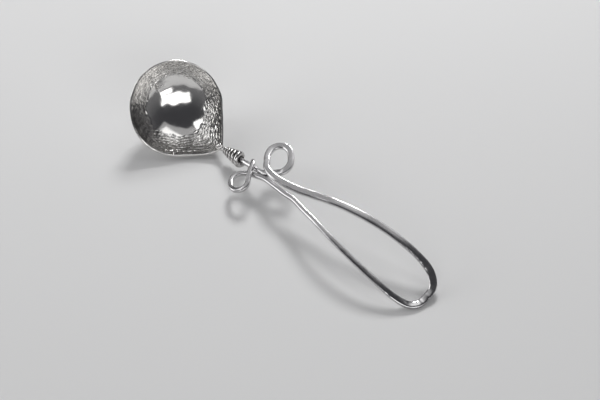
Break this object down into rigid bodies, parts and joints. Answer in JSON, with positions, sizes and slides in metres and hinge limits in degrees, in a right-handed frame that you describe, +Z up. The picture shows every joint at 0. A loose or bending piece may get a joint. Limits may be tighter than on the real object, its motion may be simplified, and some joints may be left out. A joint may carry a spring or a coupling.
{
  "type": "gravy ladle",
  "caption": "Hand-forged gravy ladle of polished white metal: a hammered teardrop bowl on a looped handle of one rod with decorative curls and a wire-wound neck.",
  "frame": {"origin": "middle of the footprint of the ladle as it lies on a table, at table height", "axes": "+X from the bowl to the end of the handle, +Y across the handle to the side of the large curl, +Z up from the table"},
  "size_m": [0.2392, 0.0592, 0.0442],
  "materials": {
    "bowl_metal": "bright polished white metal with rows of hammer marks round a smooth middle",
    "rod_metal": "forged and polished rod with flattened faces",
    "wire_metal": "polished wire with darker hollows between the turns",
    "solder_metal": "uneven bright solder"
  },
  "bodies": {
    "root": {"bowl": "bowl_metal", "handle_rod": "rod_metal", "binding_coil": "wire_metal", "tail_solder": "solder_metal"}
  },
  "joints": []
}
